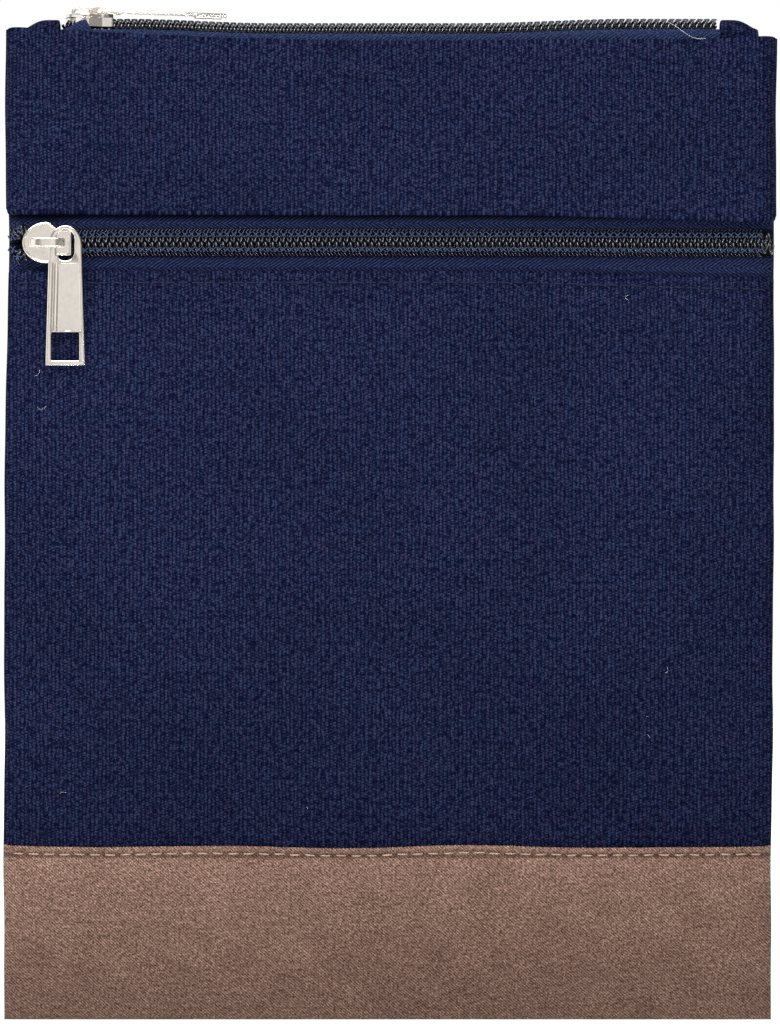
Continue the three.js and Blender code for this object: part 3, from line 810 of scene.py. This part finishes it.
def pocket_zip():
    face_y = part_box("pocket_zip_upper_tape")[0].y
    chain = Chain((0.0, face_y, zip_z), (0.0, -1.0, 0.0), face_y - upper_coil_low.y, pocket_sway)
    nose, tail = (corner.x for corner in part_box("pocket_slider_body"))
    left, right = nose - 3.1 * MM, half_width - 2 * MM
    for name, sign in (("upper", 1), ("lower", -1)):
        phase = 0 if sign > 0 else COIL_PITCH / 2
        chain.coil(f"pocket_{name}_coil", f"pocket_zip_{name}_coil", sign * UP, left, right, phase)
        chain.sewing(f"pocket_{name}_stitches", sign * UP, tail - 0.5 * MM, right - MM)
        chain.sewing(f"pocket_{name}_curled_stitches", sign * UP, left + 0.2 * MM, nose + 0.5 * MM)
        pocket_tape(f"pocket_{name}_tape", f"pocket_zip_{name}_tape", sign)


def mouth_sag(points, across=None):
    """The mouth's chain and tapes hang a little between the tabs."""
    share = points[..., 0] / half_width
    points[..., 2] -= 1.0 * MM * smooth(-0.68, -0.3, share) * (1 - smooth(0.2, 0.62, share))
    return points


def mouth_tape(name, node, chain_y, side):
    """A tape of the mouth zip lies flat beside the chain, then turns down inside the panel."""
    low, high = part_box(node)
    start = abs((high.y if side == FRONT else low.y) - chain_y)
    reach = high.y - low.y
    turn = 1.4 * MM
    bend = np.linspace(0, math.pi / 2, 5)[1:]
    beside = steps(start, start + reach - turn, 0.7 * MM)
    below = steps(0.8 * MM, high.z - low.z - turn - TAPE, MM)
    away = np.concatenate([beside, beside[-1] + turn * np.sin(bend), np.full(len(below), start + reach)])
    fall = np.concatenate([0 * beside, turn * (1 - np.cos(bend)), turn + below])
    xs = steps(low.x, high.x, 1.2 * MM)
    points = np.zeros((len(away), len(xs), 3))
    points[..., 0] = xs
    points[..., 1] = chain_y + side * away[:, None]
    points[..., 2] = high.z - fall[:, None]
    if side == FRONT:
        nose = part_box("mouth_slider_body")[0].x
        rising = smooth(nose - 1.2 * MM, nose + 4.4 * MM, xs)
        falling = smooth(nose + 5.4 * MM, nose + 6.6 * MM, xs)
        upright = smooth(start + reach - turn, start + reach, away) * (1 - smooth(turn, 3 * turn, fall))
        points[..., 2] += 3 * MM * np.outer(upright, rising * (1 - falling))
    tape(name, node, mouth_sag(points[::-1]), side, pale_tape)


def mouth_zip():
    low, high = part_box("mouth_zip_front_tape")
    chain_y = (high.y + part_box("mouth_zip_back_tape")[0].y) / 2
    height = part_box("mouth_zip_front_coil")[1].z - high.z
    chain = Chain((0.0, chain_y, high.z), UP, height, mouth_sag)
    left, right = low.x + 0.4 * MM, high.x - 0.6 * MM
    sewn_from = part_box("mouth_slider_body")[1].x - 0.5 * MM
    for name, side in (("front", FRONT), ("back", BACK)):
        across = np.array([0.0, side, 0.0])
        phase = 0 if side == FRONT else COIL_PITCH / 2
        chain.coil(f"mouth_{name}_coil", f"mouth_zip_{name}_coil", across, left, right - phase, phase)
        chain.sewing(f"mouth_{name}_stitches", across, sewn_from, right)
        mouth_tape(f"mouth_{name}_tape", f"mouth_zip_{name}_tape", chain_y, side)


def end_tab(name, node):
    """A folded scrap of canvas over an end of the mouth zip, higher towards the chain."""
    low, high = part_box(node)
    xs = steps(low.x + 0.5 * MM, high.x - 0.5 * MM, 0.6 * MM)
    share = (xs - low.x) / (high.x - low.x)
    share = share if low.x < 0 else 1 - share
    crest = high.z - 2.2 * MM * (1 - smooth(0, 0.8, share)) ** 2
    around = np.linspace(-math.pi / 2, math.pi / 2, 15)
    middle, depth, rise = (low.y + high.y) / 2, (high.y - low.y) / 2, 2.2 * MM
    skirt = (crest.min() - rise - low.z) * np.linspace(1, 0, 5)[:-1]
    sides = [(low.y, crest - rise - drop) for drop in skirt]
    arch = [(middle + depth * math.sin(a), crest - rise * (1 - math.cos(a))) for a in around]
    rows = [*sides, *arch, *[(high.y, z) for _, z in sides[::-1]]]
    points = np.array([np.stack([xs, np.full(len(xs), y), z], axis=-1) for y, z in rows])
    piece = cloth_piece(name, points, CANVAS, navy_canvas, node=node, slot="canvas")


# ---- Loose fibres ----
def lint_fibres():
    """A few pale fibres on the canvas."""
    face = cad_face("front_pocket_panel", FRONT), cad_face("front_upper_band", FRONT)
    t = np.linspace(-0.5, 0.5, 8)
    paths = []
    for _ in range(16):
        x = rng.uniform(-0.92, 0.92) * half_width
        z = rng.uniform(base_top + 8 * MM, pouch_top - 8 * MM)
        if panel_high.z - 6 * MM < z < band_low.z + 6 * MM:
            continue
        depth = face[int(z > band_low.z)](x, z)
        turn, length, bend = rng.uniform(0, math.pi), rng.uniform(0.8, 2.2) * MM, rng.normal(0, 0.4) * MM
        along_x = length * t * math.cos(turn) - bend * t**2 * 4 * math.sin(turn)
        along_z = length * t * math.sin(turn) + bend * t**2 * 4 * math.cos(turn)
        paths.append(np.stack([x + along_x, np.full(8, depth - 0.75 * MM), z + along_z], axis=-1))
    vertices, faces = tubes(paths, 0.03 * MM, sides=5)
    add_piece("lint_fibres", vertices, faces, pale_thread, slot="canvas")


def stray_thread():
    """A loose white thread at the right end of the mouth."""
    t = np.linspace(0, 1, 24)
    start = np.array([0.71 * half_width, band_low.y - 0.3 * MM, pouch_top + 0.6 * MM])
    fall = 1.1 * MM * np.cos(4.2 * t) - 2.1 * MM * t
    loop = np.stack([9 * MM * t, -0.5 * MM * np.sin(math.pi * t), fall], axis=-1)
    vertices, faces = tubes([start + loop], 0.045 * MM, sides=6)
    add_piece("stray_thread", vertices, faces, pale_thread, slot="canvas")


# ---- Metal ----
SLIDER_TAIL = 6 * MM  # width of a slider's square tail
PLATE = MM
PLATE_RIM, PLATE_RECESS = 0.55 * MM, 0.22 * MM
CROWN_WIDTH, CROWN_LENGTH, CROWN_STRIP = 2.1 * MM, 8.4 * MM, 0.75 * MM
PULL_LENGTH, PULL_TOP, PULL_FOOT, PULL_THICK = 32.4 * MM, 7.6 * MM, 9.1 * MM, 0.9 * MM
EYE_WIDTH, EYE_LENGTH = 4.26 * MM, 7.2 * MM
RING = EYE_LENGTH / 2 + MM  # from the middle of the eye to the end of the tab
WINDOW, FOOT_BAR = 6.4 * MM, 1.2 * MM


def shifted(outline, amount):
    """The closed outline moved to its left by an even amount."""
    left = []
    for edge in (outline - np.roll(outline, 1, axis=0), np.roll(outline, -1, axis=0) - outline):
        across = np.stack([-edge[:, 1], edge[:, 0]], axis=-1)
        left.append(across / np.linalg.norm(edge, axis=1, keepdims=True))
    corner = 1 + (left[0] * left[1]).sum(-1, keepdims=True)
    return outline + amount * (left[0] + left[1]) / corner


def turned(outline, anticlockwise):
    x, y = outline.T
    area = (x * np.roll(y, -1) - y * np.roll(x, -1)).sum()
    return outline if (area > 0) == anticlockwise else outline[::-1]


def casting(outlines, low, high, rounding):
    """Metal between two heights: the first outline, less the others, with all its edges rounded."""
    rings = [turned(np.array(o, float), k == 0) for k, o in enumerate(outlines)]
    turn = np.linspace(0, math.pi / 2, 5)
    profile = [(rounding * (1 - math.cos(a)), low + rounding * (1 - math.sin(a))) for a in turn[::-1]]
    profile += [(rounding * (1 - math.cos(a)), high - rounding * (1 - math.sin(a))) for a in turn]
    vertices, faces, caps, start = [], [], [], 0
    for ring in rings:
        count = len(ring)
        layers = [np.column_stack([shifted(ring, inward), np.full(count, h)]) for inward, h in profile]
        vertices.extend(layers)
        index = np.arange(count * len(profile)).reshape(len(profile), count) + start
        faces += ring_faces(index)
        caps.append((index[0], index[-1]))
        start += index.size
    vertices = np.concatenate(vertices)
    lower = np.concatenate([cap[0] for cap in caps])
    upper = np.concatenate([cap[1] for cap in caps])
    triangles = tessellate_polygon([[Vector(vertices[k]) for k in cap[1]] for cap in caps])
    for a, b, c in triangles:
        p, q, r = (vertices[upper[k]] for k in (a, b, c))
        if np.cross((q - p)[:2], (r - p)[:2]) < 0:
            a, b = b, a
        faces.append([upper[a], upper[b], upper[c]])
        faces.append([lower[c], lower[b], lower[a]])
    return vertices, faces


def metal_piece(name, castings, body, node):
    """One piece from castings, each given with the place that it is set in."""
    vertices, faces, start = [], [], 0
    for (points, corners), (origin, right, up) in castings:
        axes = np.array([right, up, np.cross(right, up)])
        vertices.append(origin + points @ axes)
        faces += [[k + start for k in face] for face in corners]
        start += len(points)
    piece = add_piece(name, np.concatenate(vertices), faces, nickel, body=body, node=node, slot="nickel")
    piece.modifiers.new("flat_faces", "WEIGHTED_NORMAL").keep_sharp = True


def ellipse(width, height, start, end, count=24, middle=(0, 0)):
    turn = np.linspace(start, end, count)
    return np.stack([middle[0] + width * np.cos(turn), middle[1] + height * np.sin(turn)], axis=-1)


def plate_outline(length, width, inset):
    """A round nose towards -X, and shoulders that run into a square tail."""
    end, wide, tail = length / 2 - inset, width / 2 - inset, SLIDER_TAIL / 2 - inset
    t = np.linspace(0, 1, 9)
    x = 0.65 * wide * (1 - t)
    shoulder = np.stack([x, tail + (wide - tail) * t * t * (3 - 2 * t)], axis=-1)
    nose = ellipse(end, wide, math.pi / 2, 1.5 * math.pi, 40)[1:-1]
    upper = np.concatenate([[(end, tail)], shoulder])
    return np.concatenate([upper, nose, upper[::-1] * (1, -1)])


def flange_outline(length, width, sign):
    """A side wall of the slider: it follows the plate outside, and the parted chain inside."""
    x = np.linspace(-0.27 * length, length / 2 - 0.05 * MM, 24)
    narrow = smooth(0.65 * width / 2, 0, x)
    tail = SLIDER_TAIL / 2
    nose = width / 2 * np.sqrt(1 - np.clip(-2 * x / length, 0, 1) ** 2)
    outer = np.where(x < 0, nose, tail + (width / 2 - tail) * narrow) - 0.05 * MM
    parted = tail - 0.28 * MM + (width / 2 - tail - 0.5 * MM) * smooth(2.4 * MM, -MM, x)
    inner = np.minimum(parted, outer - 0.15 * MM)
    return np.concatenate([np.stack([x, sign * outer], -1), np.stack([x, sign * inner], -1)[::-1]])


def slider(prefix, place):
    """Body and crown of a slider. Its place is its middle on the tapes, X, and the way across the chain."""
    origin, right, across = place
    out = np.cross(right, across)
    node, body = prefix + "_slider_body", prefix + "_slider"
    low, high = (np.array(corner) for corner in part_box(node))
    length = high[0] - low[0]
    width = abs((high - low) @ across)
    top, foot = ((corner - origin) @ out for corner in ((high, low) if out.sum() > 0 else (low, high)))
    inside = top - PLATE

    def plate(inset):
        return plate_outline(length, width, inset)

    post = ellipse(1.5 * MM, 0.14 * MM, 0, 2 * math.pi, 16, (-0.28 * length, 0))[:-1]
    parts = [
        casting([plate(0.1 * MM)], inside, top - PLATE_RECESS, 0.1 * MM),
        casting([plate(0), plate(PLATE_RIM)], inside, top, 0.22 * MM),
        casting([plate(0.6 * MM)], foot, foot + PLATE, 0.2 * MM),
        casting([post], foot + PLATE / 2, top - PLATE / 2, 0.05 * MM),
    ]
    for sign in (1, -1):
        flange = flange_outline(length, width, sign)
        parts.append(casting([flange], 0.65 * MM, inside + 0.2 * MM, 0.06 * MM))
    metal_piece(node + "_metal", [(part, place) for part in parts], body, node)
    crown(prefix, (origin, right, out), top - PLATE_RECESS, body)


def crown(prefix, place, foot, body):
    """A bent strip along the slider, under which the pull's ring passes."""
    node = prefix + "_slider_crown"
    low, high = (np.array(corner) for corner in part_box(node))
    rise = abs((high - low) @ place[2])
    turn = np.linspace(0, math.pi, 33)

    def arch(half, top):
        x, y = np.cos(turn), np.sin(turn)
        return np.stack([half * np.sign(x) * np.abs(x) ** 0.62, foot + top * y**0.62], axis=-1)

    outer = arch(CROWN_LENGTH / 2, rise)
    inner = arch(CROWN_LENGTH / 2 - CROWN_STRIP, rise - CROWN_STRIP)
    strip = casting([np.concatenate([outer, inner[::-1]])], -CROWN_WIDTH / 2, CROWN_WIDTH / 2, 0.28 * MM)
    metal_piece(node + "_metal", [(strip, place)], body, node)


def pull_window(foot, corner=0.35 * MM):
    """The square hole above the foot of a pull, with rounded corners."""
    half = WINDOW / 2 - corner
    low, high = foot + corner, foot + WINDOW - corner
    quarter = math.pi / 2
    corners = [(half, low), (half, high), (-half, high), (-half, low)]
    turns = [ellipse(corner, corner, (k - 1) * quarter, k * quarter, 5, at) for k, at in enumerate(corners)]
    return np.concatenate(turns)


def pull(node, body, place):
    """A pull tab. Its place is the middle of its eye; the tab hangs down from there."""
    bottom = RING - PULL_LENGTH
    feet = [(-PULL_FOOT / 2, bottom), (PULL_FOOT / 2, bottom)]
    outline = np.concatenate([feet, ellipse(PULL_TOP / 2, RING, 0, math.pi, 40)])
    wide, bend = EYE_WIDTH / 2, (EYE_LENGTH - EYE_WIDTH) / 2
    upper = ellipse(wide, wide, 0, math.pi, 20, (0, bend))
    eye = np.concatenate([upper, ellipse(wide, wide, math.pi, 2 * math.pi, 20, (0, -bend))])
    window = pull_window(bottom + FOOT_BAR)
    top_y, foot_y = -EYE_LENGTH / 2 - 0.75 * MM, bottom + FOOT_BAR + WINDOW + 0.4 * MM
    halves = [np.interp(y, (bottom, 0), (PULL_FOOT / 2, PULL_TOP / 2)) for y in (foot_y, top_y)]

    def channel(sides):
        """A sunk part of the face; sides gives its left and right x from half the tab's width there."""
        (foot_left, foot_right), (top_left, top_right) = (sides(half) for half in halves)
        return [(foot_left, foot_y), (foot_right, foot_y), (top_right, top_y), (top_left, top_y)]

    groove = channel(lambda half: (1.15 * MM - half, 1.8 * MM - half))
    panel = channel(lambda half: (2.5 * MM - half, half - 0.9 * MM))
    half_thick = PULL_THICK / 2
    floor = half_thick - 0.36 * MM
    core = [shifted(outline, 0.06 * MM), shifted(eye[::-1], 0.06 * MM), window]
    face = [outline, eye, window, groove, panel]
    castings = [
        (casting(core, -half_thick, floor, 0.2 * MM), place),
        (casting(face, 0.14 * MM - half_thick, half_thick, 0.32 * MM), place),
        groove_bed(place, groove, floor),
    ]
    metal_piece(node + "_metal", castings, body, node)


def groove_bed(place, groove, floor):
    """A ramp that makes the groove deep at its right side, and the place it is set in."""
    eye, right, up = place
    foot, top = np.array(groove[0]), np.array(groove[3])
    down = (foot - top) / np.linalg.norm(foot - top)
    width = groove[1][0] - groove[0][0]
    under = floor - 0.1 * MM
    ramp = np.array([(0, under), (width, under), (width, floor), (0, floor + 0.3 * MM)])
    out = np.cross(right, up)
    slanted = (eye + top[0] * right + top[1] * up, -down[1] * right + down[0] * up, out)
    return casting([ramp], 0, np.linalg.norm(foot - top), 0.01 * MM), slanted


def middle_x(node):
    low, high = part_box(node)
    return (low.x + high.x) / 2


def pocket_metal():
    right, up = np.eye(3)[[0, 2]]
    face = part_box("pocket_zip_upper_tape")[0].y
    slider("pocket", (np.array([middle_x("pocket_slider_body"), face, zip_z]), right, up))
    low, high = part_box("pocket_zip_pull")
    eye = np.array([middle_x("pocket_zip_pull"), (low.y + high.y) / 2, high.z - RING])
    pull("pocket_zip_pull", "pocket_pull", (eye, right, up))


def mouth_metal():
    """The mouth's slider lies on the tapes, and its pull lies back along the chain, tilted."""
    right, back = np.eye(3)[[0, 1]]
    front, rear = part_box("mouth_zip_front_tape")[1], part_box("mouth_zip_back_tape")[0]
    middle = np.array([middle_x("mouth_slider_body"), (front.y + rear.y) / 2, front.z])
    slider("mouth", (middle, right, back))
    low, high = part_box("mouth_zip_pull")
    tilt = math.asin((high.z - low.z - PULL_THICK) / PULL_LENGTH)
    towards = np.array([-math.cos(tilt), 0.0, math.sin(tilt)])
    end = np.array([low.x, (low.y + high.y) / 2, high.z - PULL_THICK / 2])
    pull("mouth_zip_pull", "mouth_pull", (end - RING * towards, back, towards))


# ---- Studio ----
def plane(name, corners, material):
    mesh = bpy.data.meshes.new(name)
    mesh.from_pydata(corners, [], [list(range(len(corners)))])
    mesh.materials.append(material)
    card = add_object(name, mesh)
    return card


def glowing(name, strength):
    s = Shader(name)
    black, white = rgb(0, 0, 0), rgb(1, 1, 1)
    return s.finish(
        Base_Color=black, Emission_Color=white, Emission_Strength=strength, Specular_IOR_Level=0.0
    )


def area_light(name, place, target, size, power):
    light = bpy.data.lights.new(name, "AREA")
    light.shape = "RECTANGLE"
    light.size, light.size_y = size
    light.energy = power
    lamp = add_object(name, light)
    lamp.location = place
    lamp.rotation_euler = (Vector(target) - Vector(place)).to_track_quat("-Z", "Y").to_euler()
    lamp.visible_camera = False


def floor_material():
    """Pale, and lit from below under and behind the pouch, so that it shows as white as the wall."""
    s = Shader("pale_floor")
    parts = s.tree.nodes.new("ShaderNodeSeparateXYZ")
    s.put(parts.inputs[0], s.place())
    lit = s.times(s.range(parts.outputs[1], -60 * MM, -25 * MM), 0.7)
    return s.finish(Base_Color=rgb(0.8, 0.8, 0.8), Emission_Color=rgb(1, 1, 1), Emission_Strength=lit)


def room():
    """A floor, a glowing wall behind the pouch, and a dim even light all round."""
    reach, back, tall = 15.0, 2.2, 11.0
    floor = floor_material()
    plane("floor", [(-reach, -reach, 0), (reach, -reach, 0), (reach, reach, 0), (-reach, reach, 0)], floor)
    corners = [(-reach, back, 0), (reach, back, 0), (reach, back, tall), (-reach, back, tall)]
    plane("backdrop", corners, glowing("pale_wall", 1.0))
    world = bpy.data.worlds.new("room")
    world.use_nodes = True
    background = world.node_tree.nodes["Background"]
    background.inputs["Color"].default_value = rgb(1, 1, 1)
    background.inputs["Strength"].default_value = 0.24
    bpy.context.scene.world = world


def lamps():
    area_light("key", (-0.12, -0.42, 0.58), (0, 0, 0.13), (0.5, 0.32), 4.2)
    area_light("low_strip", (0, -0.2, 0.012), (0, -0.2, 1), (0.7, 0.008), 1.0)


def cards():
    """Glowing cards that the metal mirrors. The camera doesn't see them."""
    front_glow = glowing("card", 0.88)
    for side, strength in ((-1, 1.1), (1, 0.3)):
        x = side * 0.7
        corners = [(x, -1.2, 0.02), (x, -0.1, 0.02), (x, -0.1, 0.4), (x, -1.2, 0.4)]
        card = plane(f"side_card_{side + 2}", corners, glowing(f"side_glow_{side + 2}", strength))
        card.visible_camera = False
    behind = seam_y - 1.7
    corners = [(-0.3, behind, 0), (0.3, behind, 0), (0.3, behind, 0.45), (-0.3, behind, 0.45)]
    plane("front_card", corners, front_glow).visible_camera = False


def camera():
    """A long lens square to the front, which takes in the pouch's height and a small margin."""
    distance, framed, centre_z = 1.5, 237.7 * MM, 117.75 * MM
    data = bpy.data.cameras.new("camera")
    data.sensor_width = 36
    data.lens = data.sensor_width * distance / framed
    eye = add_object("camera", data)
    eye.location = (0, seam_y - distance, centre_z)
    eye.rotation_euler = (math.pi / 2, 0, 0)
    data.clip_start, data.clip_end = 0.05, 20
    bpy.context.scene.camera = eye
    bpy.context.scene.view_settings.view_transform = "Standard"


pocket_panel()
upper_band()
back_canvas()
base_panel("front_base", "front_base_panel", FRONT, 41)
base_panel("back_base", "back_base_panel", BACK, 43)
inner_sheet("pocket_backing_cloth", "pocket_backing", FRONT)
inner_sheet("front_lining_cloth", "front_lining", FRONT)
inner_sheet("back_lining_cloth", "back_lining", BACK)
pocket_zip()
mouth_zip()
end_tab("mouth_left_tab_cloth", "mouth_left_end_tab")
end_tab("mouth_right_tab_cloth", "mouth_right_end_tab")
lint_fibres()
stray_thread()
pocket_metal()
mouth_metal()
room()
lamps()
cards()
camera()
